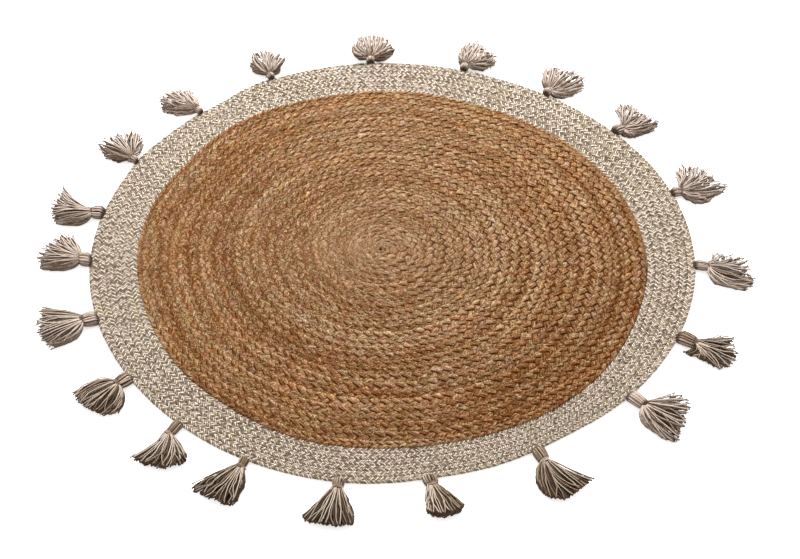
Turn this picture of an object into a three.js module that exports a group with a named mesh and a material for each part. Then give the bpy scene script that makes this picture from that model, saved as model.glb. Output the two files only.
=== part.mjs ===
import * as THREE from 'three';

// A round braided rug, 1.2 m across: a spiral of jute braid, a border of six rows of finer marled braid and
// twenty yarn tassels sewn round the edge. It lies flat. Millimetres, +Z up, origin on the floor under the
// middle of the rug. Angles are in degrees, anticlockwise from +X seen from above.

// Driving sizes
const rugRadius = 598;
const juteRadius = 508;
const juteThickness = 9;
const borderThickness = 8;
const borderRows = 6;
const rowGroove = 1.2;
const pieceGap = 0.3;
const ringSides = 72;

// The tassels' common sizes
const loopHalfWidth = 3;
const loopReach = 4;
const edgeMidHeight = 4;
const neckHalfWidth = 8;
const neckTop = 17;
const neckBottom = 3.2;
const tieWidth = 7;
const tieThickness = 1.8;
const skirtPlump = 10;

// How far each edge strays from a true circle: this many swells round it, this high, with a crest at this angle
const rugSwells = [
  { waves: 1, swell: 2.8, crest: 70 },
  { waves: 2, swell: 4.7, crest: 34 },
  { waves: 3, swell: 4.8, crest: 118 },
  { waves: 4, swell: 2.8, crest: 1 },
  { waves: 5, swell: 1.5, crest: 38 },
];
const juteSwells = [
  { waves: 1, swell: 12.4, crest: 261 },
  { waves: 2, swell: 3.5, crest: 132 },
  { waves: 3, swell: 3.6, crest: 2 },
  { waves: 5, swell: 1.6, crest: 26 },
  { waves: 6, swell: 1.7, crest: 8 },
];

// Short stretches where the outer edge is pulled in (depth above 0) or stands out (below 0)
const edgeDents = [
  { at: 120, depth: -5, reach: 5 },
  { at: 131, depth: 5, reach: 6 },
  { at: 153, depth: -4, reach: 6 },
  { at: 278, depth: 4, reach: 8 },
  { at: 303, depth: 5, reach: 9 },
];

// One row for each tassel. at: angle round the rug. head: length from the edge to the neck. wide: width of the
// head. left, right: how far the skirt spreads to each side, seen from the rug. reach: from the edge to the
// farthest yarn end. round: 0 for a skirt that opens like a fan, 1 for one that closes like a pompom.
// tip: height of the bunch of yarn ends.
const tassels = [
  { at: 95.2, head: 16, wide: 20, left: 37, right: 57, reach: 100, round: 1.0, tip: 10 },
  { at: 74.5, head: 24, wide: 21, left: 35, right: 56, reach: 106, round: 1.0, tip: 10 },
  { at: 55.4, head: 20, wide: 20, left: 49, right: 45, reach: 97, round: 0.8, tip: 11 },
  { at: 37.0, head: 24, wide: 25, left: 68, right: 37, reach: 96, round: 0.7, tip: 12 },
  { at: 16.6, head: 29, wide: 29, left: 76, right: 37, reach: 112, round: 0.8, tip: 12 },
  { at: 356.5, head: 27, wide: 25, left: 49, right: 60, reach: 112, round: 0.6, tip: 12 },
  { at: 337.1, head: 28, wide: 31, left: 50, right: 47, reach: 114, round: 0.7, tip: 14 },
  { at: 319.1, head: 34, wide: 27, left: 73, right: 36, reach: 120, round: 0.2, tip: 14 },
  { at: 297.7, head: 28, wide: 26, left: 56, right: 40, reach: 122, round: 0.3, tip: 24 },
  { at: 276.9, head: 24, wide: 21, left: 59, right: 10, reach: 104, round: 0.2, tip: 25 },
  { at: 261.5, head: 30, wide: 21, left: 45, right: 46, reach: 115, round: 0.1, tip: 22 },
  { at: 244.9, head: 26, wide: 24, left: 31, right: 56, reach: 116, round: 0.3, tip: 16 },
  { at: 230.4, head: 31, wide: 27, left: 79, right: 14, reach: 120, round: 0.3, tip: 14 },
  { at: 216.2, head: 29, wide: 30, left: 55, right: 36, reach: 107, round: 0.7, tip: 14 },
  { at: 199.8, head: 27, wide: 35, left: 49, right: 68, reach: 109, round: 0.3, tip: 14 },
  { at: 184.0, head: 27, wide: 33, left: 24, right: 80, reach: 103, round: 0.5, tip: 12 },
  { at: 170.7, head: 30, wide: 34, left: 47, right: 68, reach: 108, round: 0.3, tip: 12 },
  { at: 155.0, head: 22, wide: 22, left: 12, right: 92, reach: 98, round: 0.6, tip: 11 },
  { at: 135.3, head: 21, wide: 20, left: 52, right: 40, reach: 105, round: 0.7, tip: 11 },
  { at: 117.0, head: 17, wide: 19, left: 22, right: 62, reach: 105, round: 0.5, tip: 11 },
];

// Half of a hank's cross-section, flat underneath. side: share of the half width. rise: share of the height.
const hankHalfSection = [
  { side: 0, rise: 1 },
  { side: 0.62, rise: 0.88 },
  { side: 1, rise: 0.4 },
  { side: 0.84, rise: 0 },
];

// Colours and finish
const juteMaterial = new THREE.MeshStandardMaterial({ color: 0x9b7350, roughness: 0.85, metalness: 0 });
const marlMaterial = new THREE.MeshStandardMaterial({ color: 0xbaa792, roughness: 0.95, metalness: 0 });
const yarnMaterial = new THREE.MeshStandardMaterial({ color: 0x96867a, roughness: 0.95, metalness: 0 });
const tieMaterial = new THREE.MeshStandardMaterial({ color: 0xb5a798, roughness: 0.95, metalness: 0 });

const radians = THREE.MathUtils.degToRad;

function swollenRadius(meanRadius, swells, degrees) {
  let radius = meanRadius;
  for (const wave of swells) {
    radius += wave.swell * Math.cos(wave.waves * radians(degrees - wave.crest));
  }
  return radius;
}

function juteEdge(degrees) {
  return swollenRadius(juteRadius, juteSwells, degrees);
}

function rugEdge(degrees) {
  let radius = swollenRadius(rugRadius, rugSwells, degrees);
  for (const dent of edgeDents) {
    const away = (degrees - dent.at) / dent.reach;
    radius -= dent.depth * Math.exp(-away * away);
  }
  return radius;
}

function onCircle(radius, degrees, height) {
  return new THREE.Vector3(radius * Math.cos(radians(degrees)), radius * Math.sin(radians(degrees)), height);
}

// Joins loops of equal length into one closed solid. A closed run meets itself; an open one is capped.
function solidFromLoops(loops, closedRun) {
  const count = loops[0].length;
  const corners = loops.flat();
  const faces = [];
  const runs = closedRun ? loops.length : loops.length - 1;
  for (let i = 0; i < runs; i += 1) {
    const here = i * count;
    const next = ((i + 1) % loops.length) * count;
    for (let j = 0; j < count; j += 1) {
      const k = (j + 1) % count;
      faces.push([here + j, next + j, next + k], [here + j, next + k, here + k]);
    }
  }
  if (!closedRun) {
    const first = corners.length;
    corners.push(middleOf(loops[0]), middleOf(loops.at(-1)));
    const last = (loops.length - 1) * count;
    for (let j = 0; j < count; j += 1) {
      const k = (j + 1) % count;
      faces.push([first, j, k], [first + 1, last + k, last + j]);
    }
  }
  const volume = faces.reduce((sum, face) => sum + signedVolume(corners, face), 0);
  const geometry = new THREE.BufferGeometry();
  geometry.setAttribute('position', new THREE.Float32BufferAttribute(corners.flatMap((p) => [p.x, p.y, p.z]), 3));
  geometry.setIndex(faces.flatMap((face) => (volume > 0 ? face : face.toReversed())));
  geometry.computeVertexNormals();
  return geometry;
}

function middleOf(loop) {
  const middle = new THREE.Vector3();
  loop.forEach((corner) => middle.add(corner));
  return middle.divideScalar(loop.length);
}

function signedVolume(corners, [a, b, c]) {
  return corners[a].dot(corners[b].clone().cross(corners[c])) / 6;
}

function addPiece(group, name, geometry, material) {
  const piece = new THREE.Mesh(geometry, material);
  piece.name = name;
  group.add(piece);
}

// The jute disc: rings of corners from the middle of the underside, round the rim and in over the top
function juteCentreGeometry() {
  const profile = [
    { share: 0.3, inset: 0, height: 0 },
    { share: 1, inset: 2, height: 0 },
    { share: 1, inset: 0, height: 2 },
    { share: 1, inset: 0, height: 6 },
    { share: 1, inset: 3, height: juteThickness - 0.8 },
    { share: 0.92, inset: 0, height: juteThickness },
    { share: 0.45, inset: 0, height: juteThickness - 0.5 },
  ];
  const loops = profile.map((ring) => {
    const loop = [];
    for (let i = 0; i < ringSides; i += 1) {
      const degrees = (360 * i) / ringSides;
      const radius = (juteEdge(degrees) - pieceGap / 2 - ring.inset) * ring.share;
      loop.push(onCircle(radius, degrees, ring.height));
    }
    return loop;
  });
  return solidFromLoops(loops, false);
}

// The border's cross-section: flat underneath, with a low ridge for each row of braid
function borderProfile() {
  const profile = [{ across: 0.02, height: 0 }, { across: 0, height: 2 }, { across: 0, height: 6 }];
  for (let row = 0; row < borderRows; row += 1) {
    const last = row === borderRows - 1;
    profile.push({ across: (row + 0.5) / borderRows, height: borderThickness });
    if (!last) {
      profile.push({ across: (row + 1) / borderRows, height: borderThickness - rowGroove });
    }
  }
  profile.push({ across: 1, height: edgeMidHeight + 1.5 }, { across: 1, height: edgeMidHeight - 1.5 });
  profile.push({ across: 0.975, height: 0 });
  return profile;
}

function marlBorderGeometry() {
  const profile = borderProfile();
  const loops = [];
  for (let i = 0; i < ringSides; i += 1) {
    const degrees = (360 * i) / ringSides;
    const inner = juteEdge(degrees) + pieceGap / 2;
    const outer = rugEdge(degrees);
    loops.push(profile.map((spot) => onCircle(inner + (outer - inner) * spot.across, degrees, spot.height)));
  }
  return solidFromLoops(loops, true);
}

// The border's edge is a run of straight facets, so a tassel starts from the facet and not from the curve.
// distance: to the facet, straight out. slope: how fast it falls away from there, clockwise.
function facetAt(degrees) {
  const step = 360 / ringSides;
  const start = Math.floor(degrees / step) * step;
  const a = onCircle(rugEdge(start), start, 0);
  const b = onCircle(rugEdge((start + step) % 360), start + step, 0);
  const outward = onCircle(1, degrees, 0);
  const clockwise = onCircle(1, degrees - 90, 0);
  const normal = new THREE.Vector3(b.y - a.y, a.x - b.x, 0);
  const across = normal.dot(outward);
  return { distance: normal.dot(a) / across, slope: -normal.dot(clockwise) / across };
}

// Sections of a hank, out from the edge: middle and half width across, lowest and highest point
function hankSections(tassel) {
  const lean = (tassel.right - tassel.left) / 2;
  const halfSpread = (tassel.right + tassel.left) / 2;
  const headLean = 0.15 * lean;
  const headHalf = tassel.wide / 2;
  const headTop = Math.min(tassel.wide, 24);
  const neckStart = tassel.head - tieWidth / 2 - 1;
  const neckEnd = tassel.head + tieWidth / 2 + 1;
  const sections = [
    { out: pieceGap, middle: 0, half: loopHalfWidth, low: 2, high: 6.5, alongEdge: true },
    { out: loopReach, middle: 0, half: loopHalfWidth, low: 1.5, high: 7.5 },
    { out: loopReach + 0.3 * (neckStart - loopReach), middle: 0.3 * headLean, half: headHalf, low: 0, high: headTop },
    { out: loopReach + 0.7 * (neckStart - loopReach), middle: 0.7 * headLean, half: headHalf, low: 0, high: headTop },
    { out: neckStart, middle: headLean, half: neckHalfWidth, low: neckBottom, high: neckTop },
    { out: neckEnd, middle: headLean, half: neckHalfWidth, low: neckBottom, high: neckTop },
  ];
  for (const share of [0.15, 0.35, 0.62, 0.86, 1]) {
    const opening = Math.sin(Math.PI * share ** (1 - 0.35 * tassel.round) * (0.5 + 0.22 * tassel.round));
    const swing = Math.sin((Math.PI / 2) * Math.min(1, 1.3 * share));
    const endTaper = share === 1 ? 0.86 : 1;
    sections.push({
      out: neckEnd + share * (tassel.reach - neckEnd),
      middle: headLean + (lean - headLean) * swing,
      half: (neckHalfWidth + (halfSpread - neckHalfWidth) * opening) * endTaper,
      low: 0,
      high: neckTop + (tassel.tip - neckTop) * share + skirtPlump * Math.sin(Math.PI * share ** 0.7) ** 2,
    });
  }
  return sections;
}

// Puts a section's loop of corners in its place, proud of it by some extra on every side
function sectionLoop(tassel, section, extra) {
  const facet = facetAt(tassel.at);
  const outward = onCircle(1, tassel.at, 0);
  const clockwise = onCircle(1, tassel.at - 90, 0);
  const left = hankHalfSection.slice(1).reverse().map((spot) => ({ side: -spot.side, rise: spot.rise }));
  const low = section.low - extra;
  const high = section.high + extra;
  return [...left, ...hankHalfSection].map((spot) => {
    const across = section.middle + spot.side * (section.half + extra);
    const out = facet.distance + section.out + (section.alongEdge ? facet.slope * across : 0);
    const corner = outward.clone().multiplyScalar(out).addScaledVector(clockwise, across);
    return corner.setZ(low + (high - low) * spot.rise);
  });
}

function tasselGeometry(tassel) {
  const loops = hankSections(tassel).map((section) => sectionLoop(tassel, section, 0));
  return solidFromLoops(loops, false);
}

// The tie is a flat band round the neck, clear of it by the common gap
function tieGeometry(tassel) {
  const neck = hankSections(tassel).find((section) => section.half === neckHalfWidth);
  const from = tassel.head - tieWidth / 2;
  const to = tassel.head + tieWidth / 2;
  const inside = pieceGap + 0.1;
  const outside = inside + tieThickness;
  const corners = [[from, inside], [from, outside], [to, outside], [to, inside]];
  return solidFromLoops(corners.map(([out, extra]) => sectionLoop(tassel, { ...neck, out }, extra)), true);
}

const rug = new THREE.Group();
addPiece(rug, 'jute_centre', juteCentreGeometry(), juteMaterial);
addPiece(rug, 'marl_border', marlBorderGeometry(), marlMaterial);
tassels.forEach((tassel, index) => {
  const number = String(index + 1).padStart(2, '0');
  addPiece(rug, `tassel_${number}`, tasselGeometry(tassel), yarnMaterial);
  addPiece(rug, `tassel_tie_${number}`, tieGeometry(tassel), tieMaterial);
});

export default rug;
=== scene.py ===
# Round braided rug, 1.2 m across: a spiral of jute braid, six rows of finer marled braid round it
# and twenty yarn tassels sewn to the edge. Metres, +Z up, the rug lies on the floor at z = 0.
import math
import bpy
import numpy as np
from mathutils import Matrix, Vector


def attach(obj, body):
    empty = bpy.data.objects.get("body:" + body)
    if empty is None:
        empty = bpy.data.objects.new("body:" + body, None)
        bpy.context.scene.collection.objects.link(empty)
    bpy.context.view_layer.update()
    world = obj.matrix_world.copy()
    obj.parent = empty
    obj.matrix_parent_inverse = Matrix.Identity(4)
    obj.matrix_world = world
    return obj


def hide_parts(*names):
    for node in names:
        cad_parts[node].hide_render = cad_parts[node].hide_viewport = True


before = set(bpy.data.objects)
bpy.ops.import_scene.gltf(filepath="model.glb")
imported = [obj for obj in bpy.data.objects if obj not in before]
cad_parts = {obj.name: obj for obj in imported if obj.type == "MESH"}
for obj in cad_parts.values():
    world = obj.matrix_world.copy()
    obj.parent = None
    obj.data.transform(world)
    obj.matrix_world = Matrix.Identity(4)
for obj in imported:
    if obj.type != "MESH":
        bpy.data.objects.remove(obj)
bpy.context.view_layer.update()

mm = 0.001                        # braids are worked out in metres, the yarns of tassels in millimetres
print("packed rug loaded,", len(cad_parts), "nodes")


# The camera, at the angle of the photograph
cameraSet = {
    "pictureWide": 800,           # pixels
    "focalPixels": 1676.45,
    "sensorWide": 36.0,           # millimetres
    "elevation": 44.96,           # degrees above the floor
    "roll": 0.6,
    "distance": 3.3,
    "lookAt": (0.0183, -0.0842, 0.0),
}


def addCamera():
    tilt = math.radians(cameraSet["elevation"])
    roll = math.radians(cameraSet["roll"])
    forward = Vector((0, math.cos(tilt), -math.sin(tilt)))
    flatRight = Vector((1, 0, 0))
    flatUp = Vector((0, math.sin(tilt), math.cos(tilt)))
    right = flatRight * math.cos(roll) + flatUp * math.sin(roll)
    up = flatUp * math.cos(roll) - flatRight * math.sin(roll)
    lensData = bpy.data.cameras.new("rugCamera")
    lensData.sensor_width = cameraSet["sensorWide"]
    lensData.lens = cameraSet["sensorWide"] * cameraSet["focalPixels"] / cameraSet["pictureWide"]
    lensData.clip_end = 50
    camera = bpy.data.objects.new("rugCamera", lensData)
    bpy.context.scene.collection.objects.link(camera)
    turn = Matrix((right, up, -forward)).transposed().to_4x4()
    place = Vector(cameraSet["lookAt"]) - forward * cameraSet["distance"]
    camera.matrix_world = Matrix.Translation(place) @ turn
    bpy.context.scene.camera = camera


addCamera()
print("camera set")


# Plan of the rug: how far each edge strays from a true circle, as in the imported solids
rugPlan = {
    "juteRadius": 0.508,
    "rugRadius": 0.598,
    # waves round the edge, height, angle of a crest
    "juteSwells": ((1, 0.0124, 261), (2, 0.0035, 132), (3, 0.0036, 2), (5, 0.0016, 26), (6, 0.0017, 8)),
    "rugSwells": ((1, 0.0028, 70), (2, 0.0047, 34), (3, 0.0048, 118), (4, 0.0028, 1), (5, 0.0015, 38)),
    # angle, depth of the dent, reach in degrees
    "juteDents": (
        (10, 0.0018, 8), (43, -0.0028, 8), (67, 0.0028, 7), (88, -0.0025, 8), (110, 0.0034, 7),
        (131, -0.0030, 7), (151, 0.0056, 8), (172, 0.0020, 8), (195, 0.0032, 12), (237, 0.0058, 10),
        (352, -0.0026, 6)),
    "edgeDents": ((120, -0.005, 5), (131, 0.005, 6), (153, -0.004, 6), (278, 0.004, 8), (303, 0.005, 9)),
}


def wavyRadius(meanRadius, swells, dents, degrees):
    radius = meanRadius + np.zeros_like(degrees, dtype=float)
    for waves, swell, crest in swells:
        radius = radius + swell * np.cos(waves * np.radians(degrees - crest))
    for at, depth, reach in dents:
        away = (np.mod(degrees - at + 180, 360) - 180) / reach
        radius = radius - depth * np.exp(-away * away)
    return radius


def juteEdge(degrees):
    return wavyRadius(rugPlan["juteRadius"], rugPlan["juteSwells"], rugPlan["juteDents"], degrees)


def rugEdge(degrees):
    return wavyRadius(rugPlan["rugRadius"], rugPlan["rugSwells"], rugPlan["edgeDents"], degrees)


# Places on the floor plan from a radius and degrees round the rug
def onPlan(radius, degrees):
    turned = np.radians(degrees)
    return np.column_stack([radius * np.cos(turned), radius * np.sin(turned)])


def easeIn(share):
    share = np.clip(share, 0, 1)
    return share * share * (3 - 2 * share)


# Slow random change along a strand: one value per knot, joined smoothly
def wander(places, spacing, seed):
    draw = np.random.default_rng(seed)
    steps = places / spacing
    first = np.floor(steps).astype(int)
    first = first - first.min()
    values = draw.uniform(-1, 1, first.max() + 2)
    share = easeIn(steps - np.floor(steps))
    return values[first] * (1 - share) + values[first + 1] * share


# Faces of tubes with count rings of corners each, which follow one another from corner first on
def tubeFaces(tubes, count, sides, closedRun, first=0):
    i = np.arange(count if closedRun else count - 1)[:, None]
    j = np.arange(sides)[None, :]
    after = (i + 1) % count
    beside = (j + 1) % sides
    quads = np.stack([i * sides + j, i * sides + beside, after * sides + beside, after * sides + j], axis=-1)
    starts = first + (np.arange(tubes) * count * sides)[:, None, None]
    groups = [(quads.reshape(-1, 4)[None] + starts).reshape(-1, 4)]
    if not closedRun:
        caps = np.stack([np.arange(sides)[::-1], np.arange(sides) + (count - 1) * sides])
        groups.append((caps[None] + starts).reshape(-1, sides))
    return groups


# Mesh from rings of corners. rings: tubes x rings x sides x 3
def tubeMesh(name, rings, closedRun, marks):
    return facedMesh(name, rings.reshape(-1, 3), tubeFaces(*rings.shape[:3], closedRun), marks)


# Several sets of open tubes, each with its marks, in one mesh
def joinTubes(name, parts):
    groups = []
    first = 0
    for rings, marks in parts:
        groups += tubeFaces(*rings.shape[:3], False, first)
        first += rings[..., 0].size
    corners = np.concatenate([rings.reshape(-1, 3) for rings, marks in parts])
    return facedMesh(name, corners, groups, joinMarks([marks for rings, marks in parts]))


def facedMesh(name, corners, groups, marks):
    mesh = bpy.data.meshes.new(name)
    mesh.vertices.add(len(corners))
    mesh.vertices.foreach_set("co", corners.astype(np.float32).ravel())
    loops = np.concatenate([g.ravel() for g in groups])
    sizes = np.concatenate([np.full(len(g), g.shape[1]) for g in groups])
    starts = np.concatenate([[0], np.cumsum(sizes)[:-1]])
    mesh.loops.add(len(loops))
    mesh.loops.foreach_set("vertex_index", loops.astype(np.int32))
    mesh.polygons.add(len(sizes))
    mesh.polygons.foreach_set("loop_start", starts.astype(np.int32))
    mesh.polygons.foreach_set("use_smooth", np.ones(len(sizes), bool))
    mesh.update(calc_edges=True)
    for mark, values in marks.items():
        values = np.asarray(values, np.float32)
        kind = "FLOAT_VECTOR" if values.ndim > 1 and values.shape[-1] == 3 else "FLOAT"
        field = "vector" if kind == "FLOAT_VECTOR" else "value"
        mesh.attributes.new(mark, kind, "POINT").data.foreach_set(field, values.ravel())
    return mesh


def addPiece(mesh, material, slotName, *nodes):
    piece = bpy.data.objects.new(mesh.name, mesh)
    bpy.context.scene.collection.objects.link(piece)
    mesh.materials.append(material)
    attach(piece, "root")
    if nodes:
        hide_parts(*nodes)
    return piece


strandShape = {
    "bumpLong": 1.3,              # lobes from one rise of a strand to the next
    "ridgeWide": 0.3,             # how much of a ridge goes into the width as well
    "fibreSlant": 0.7,            # the fibres slant across a lobe
    "shortest": 0.2,              # share of a full period where the rows are narrow
    "foldFrom": 0.8,              # of half a row; from here outwards a strand folds over the side
    "seamFade": 0.3,              # over which the painted shade at the edges of the lobes fades out, of half a row
}


# One strand of a flat three-strand braid. lane: where the braid runs. steps: half a period, from the fold
# round one edge of the row, over to the middle, then under the others to the next edge; the next half
# mirrors it
def braidStrand(lane, braid, strand):
    periods = lane["phase"][-1]
    steps = np.array(braid["steps"])
    perHalf = len(steps)
    halves = int(round(2 * periods)) if lane["closed"] else int(2 * periods)
    half = np.repeat(np.arange(halves), perHalf)
    row = steps[np.tile(np.arange(perHalf), halves)]
    phase = (half + row[:, 0]) / 2 - strand / 3
    if lane["closed"]:
        phase = np.mod(phase, periods)
    else:
        keep = (phase >= 0) & (phase <= periods)
        half, row, phase = half[keep], row[keep], phase[keep]
    sideways, raised, lobeLong, lobeThick, foldTurn, lobeTilt = row[:, 1:].T
    at = np.interp(phase, lane["phase"], lane["run"])
    centre, aside, heading = (pickAlong(lane, at, key) for key in ("centre", "aside", "heading"))
    halfRow = np.interp(at, lane["run"], lane["halfRow"])
    size = np.minimum(halfRow / braid["halfRow"], 1)
    mirrored = np.where(half % 2 == 0, 1.0, -1.0)[:, None]
    seed = braid["seed"] + 10 * strand
    third = braid["period"] / 3
    uneven = 1 + braid["uneven"] * wander(at, third, seed)
    thickUneven = 0.5 + 0.5 * uneven
    stray = braid["stray"] * wander(at, third, seed + 4)
    across = mirrored[:, 0] * sideways * halfRow + stray * size
    lift = braid["middleHigh"] + raised * mm * thickUneven
    lift = lift + braid["bumpy"] * wander(at, third * strandShape["bumpLong"], seed + 1)
    middle = np.column_stack([centre + aside * across[:, None], lift])
    ahead, outer = (np.column_stack([way, np.zeros(len(way))]) for way in (heading, aside))
    fold, tilt = np.radians(foldTurn)[:, None], np.radians(lobeTilt)[:, None]
    face = np.cos(fold) * mirrored * outer + np.sin(fold) * np.array([0, 0, 1.0])
    axis = np.sin(tilt) * face - np.cos(tilt) * ahead
    normal = mirrored * lane["way"] * (np.cos(tilt) * face + np.sin(tilt) * ahead)
    section = np.array(braid["section"])
    ridges = [wander(at, braid["ridgeLong"], seed + 20 + side) for side in range(len(section))]
    ridges = braid["ridgeHigh"] * np.column_stack(ridges)
    wide = section[None, :, 0] * (lobeLong * third / 2 * uneven * size)[:, None]
    wide = wide * (1 + strandShape["ridgeWide"] * ridges)
    thick = section[None, :, 1] * (lobeThick * mm / 2 * thickUneven)[:, None] * (1 + ridges)
    rings = middle[:, None] + axis[:, None] * wide[..., None] + normal[:, None] * thick[..., None]
    rings[..., 2] = np.maximum(rings[..., 2], braid["floorGap"])
    travelled = np.concatenate([[0], np.cumsum(np.linalg.norm(np.diff(middle, axis=0), axis=1))])
    evenWide = section[None, :, 0] * braid["strandWide"] / 2 + 0 * wide
    run = np.stack([travelled[:, None] - strandShape["fibreSlant"] * wide, evenWide, thick], axis=-1)
    tone, warmth = 0.5, 0.5
    for k, (length, weight) in enumerate(braid["tones"]):
        tone = tone + weight * wander(travelled, length, seed + 2 + k)
        warmth = warmth + weight * wander(travelled, length, seed + 5 + k)
    # one length of the whole row lighter or warmer than the next
    length, weight = braid["rowTone"]
    # and the painted shade and light laid along the lane
    tone = tone + weight * wander(at, length, braid["seed"] + 90) + np.interp(at, lane["run"], lane["shade"])
    length, weight = braid["rowWarmth"]
    warmth = warmth + weight * wander(at, length, braid["seed"] + 91)
    # edges of the lobes, marked for painted shade and shadow, only near the middle of the row
    seam = np.clip((braid["seamReach"] - np.abs(sideways)) / strandShape["seamFade"], 0, 1)[:, None]
    crown = 1 - (1 - np.abs(section[None, :, 1])) * seam
    folded = np.abs(sideways[:, None]) > strandShape["foldFrom"]
    # height of each corner; the finish paints the low places in shade
    high = np.maximum(rings[..., 2] / (2 * braid["middleHigh"]), braid["foldHigh"] * folded)
    outward = np.interp(at, lane["run"], lane["outward"])
    tone, warmth, outward = (np.repeat(values, len(section)) for values in (tone, warmth, outward))
    marks = {"run": run.reshape(-1, 3), "tone": tone, "warmth": warmth, "outward": outward}
    return rings, {**marks, "high": high.ravel(), "crown": crown.ravel()}


def pickAlong(lane, at, key):
    picked = np.stack([np.interp(at, lane["run"], lane[key][:, k]) for k in (0, 1)], axis=-1)
    return picked if key == "centre" else picked / np.linalg.norm(picked, axis=1, keepdims=True)


def joinMarks(sets):
    return {key: np.concatenate([marks[key] for marks in sets]) for key in sets[0]}


def addNode(tree, kind, links=None, **settings):
    node = tree.nodes.new(kind)
    for key, value in settings.items():
        setattr(node, key, value)
    for socket, value in (links or {}).items():
        if isinstance(value, bpy.types.NodeSocket):
            tree.links.new(value, node.inputs[socket])
        else:
            node.inputs[socket].default_value = value
    return node


def mathNode(tree, operation, *values):
    return addNode(tree, "ShaderNodeMath", dict(enumerate(values)), operation=operation).outputs[0]


# Layers laid over a value, each with its weight; a layer swings about 0.5 and changes nothing there
def layered(tree, value, *layers):
    for layer, weight in layers:
        value = mathNode(tree, "MULTIPLY_ADD", layer, weight, value)
    return mathNode(tree, "SUBTRACT", value, sum(weight for layer, weight in layers) / 2)


def fibreNoise(tree, place, scale, detail=2.0, rough=0.5):
    scaled = addNode(tree, "ShaderNodeVectorMath", {0: place, 1: scale}, operation="MULTIPLY").outputs[0]
    links = {"Vector": scaled, "Scale": 1.0, "Detail": detail, "Roughness": rough}
    return addNode(tree, "ShaderNodeTexNoise", links).outputs["Fac"]


def ramp(tree, share, stops):
    node = addNode(tree, "ShaderNodeValToRGB", {"Fac": share})
    colours = node.color_ramp.elements
    while len(colours) < len(stops):
        colours.new(0.5)
    for element, (position, colour) in zip(colours, stops):
        element.position = position
        element.color = (*colour, 1)
    return node.outputs["Color"]


def stretch(tree, value, fromLow, fromHigh, toLow, toHigh):
    links = {"Value": value, "From Min": fromLow, "From Max": fromHigh, "To Min": toLow, "To Max": toHigh}
    return addNode(tree, "ShaderNodeMapRange", links).outputs["Result"]


def blendColour(tree, share, first, second, kind="MIX"):
    node = addNode(tree, "ShaderNodeMix", data_type="RGBA", blend_type=kind)
    for socket, value in ((0, share), (6, first), (7, second)):
        if isinstance(value, bpy.types.NodeSocket):
            tree.links.new(value, node.inputs[socket])
        elif socket == 0:
            node.inputs[socket].default_value = value
        else:
            node.inputs[socket].default_value = (*value, 1)
    return node.outputs[2]


# Nothing of the tint where the value is near, the most of it where it is far
def tinted(tree, colour, value, tint, near, far, most, kind="MIX"):
    return blendColour(tree, stretch(tree, value, near, far, 0.0, most), colour, tint, kind)


def newMaterial(name):
    material = bpy.data.materials.new(name)
    material.use_nodes = True
    tree = material.node_tree
    return material, tree, tree.nodes["Principled BSDF"]


def attribute(tree, name, output):
    return addNode(tree, "ShaderNodeAttribute", attribute_name=name).outputs[output]


# Jute: golden brown bast fibre, glossy straws, brown bark specks, greyer and more even towards the middle
juteLook = {
    "shades": ((0.0, (0.050, 0.013, 0.0015)), (0.27, (0.133, 0.049, 0.0100)),
               (0.55, (0.232, 0.117, 0.047)), (0.98, (0.52, 0.365, 0.214))),
    # fibre noises, how fine along a strand and across it, detail, roughness
    "fibres": ((70, 1700, 1700), 3, 0.65),
    "grain": ((320, 700, 700), 2, 0.6),
    "streaks": ((85, 470, 470), 2, 0.6),
    "bundles": ((50, 280, 280), 2),
    "fibreTwist": 0.2,
    "toneWeight": 0.38,
    "bundleWeight": 0.4,
    "streakWeight": 0.8,
    "fibreWeight": 2.3,
    "grainWeight": 2.2,
    "outwardTone": (0.1, 0.6, 0.475, 0.495),
    # noises of the tints, along a strand and over the whole rug, with their weights
    "hueStrand": ((70, 400, 400), 2),
    "hueGround": ((26, 26, 26), 2),
    "hueWeights": (0.9, 1.5, 1.1),    # strand, warmth of the length, whole rug
    "tintStrand": ((60, 330, 330), 1),
    "tintGround": ((55, 55, 55), 2),
    "tintWeights": (1.6, 2.0),
    # these four tint the shades above; where each begins, where it is full and how strong it gets
    "orange": ((1.18, 0.90, 0.56), 0.1, 0.7, 0.6),
    "rosy": ((1.09, 0.92, 1.06), 0.05, 0.6, 0.7),
    "olive": ((0.87, 1.03, 0.80), -0.05, -0.6, 0.7),
    "weathered": (0.97, 1.15, 1.50),
    "weatheredHue": (-0.1, -0.7, 0.0, 0.7),
    "weatheredMiddle": (0.1, 0.8, 0.45, 0.0),
    # pale specks: straw fibre, and painted glints of the glossy fibre
    "strawGlintNoise": ((70, 800, 800), 1),
    "strawGlint": ((0.62, 0.44, 0.25), 0.66, 0.74, 0.7),
    "barkNoise": ((60, 240, 240), 1),
    "bark": ((0.028, 0.011, 0.004), 0.70, 0.76, 0.9),
    "heart": ((0.25, 0.137, 0.070), 0.4, 0.02, 0.5),
    "shadow": (0.17, 0.055, 0.008),   # beside the edges of the lobes
    "shadowRange": (0.4, 1.0, 0.6, 0.0),
    # painted shade in the crevices: the low places of the braid and the edges of the lobes darken towards
    # this
    "creviceShade": (0.085, 0.019, 0.001),
    "creviceHigh": (0.40, 0.70, 1.0, 0.0),
    "creviceEdge": (0.50, 1.0, 1.0, 0.0),
    "crownLift": 0.16,
    "darkOutward": (0.0, 0.5, 0.2, 1.0),    # the painted shadows and crevice shade are weaker in the middle
    "bumpBundles": 0.6,
    "bumpGrain": 0.5,
    "bump": 0.8,
    "bumpDeep": 0.0014,
    "roughness": 0.58,
    "gloss": 0.03,
}


def strandMarks(tree, *names):
    return (attribute(tree, name, "Fac") for name in names)


def endMaterial(tree, shader, look, colour, height):
    links = {"Strength": look["bump"], "Distance": look["bumpDeep"], "Height": height}
    bump = addNode(tree, "ShaderNodeBump", links)
    tree.links.new(colour, shader.inputs["Base Color"])
    tree.links.new(bump.outputs[0], shader.inputs["Normal"])
    shader.inputs["Roughness"].default_value = look["roughness"]
    shader.inputs["Specular IOR Level"].default_value = look["gloss"]


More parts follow.
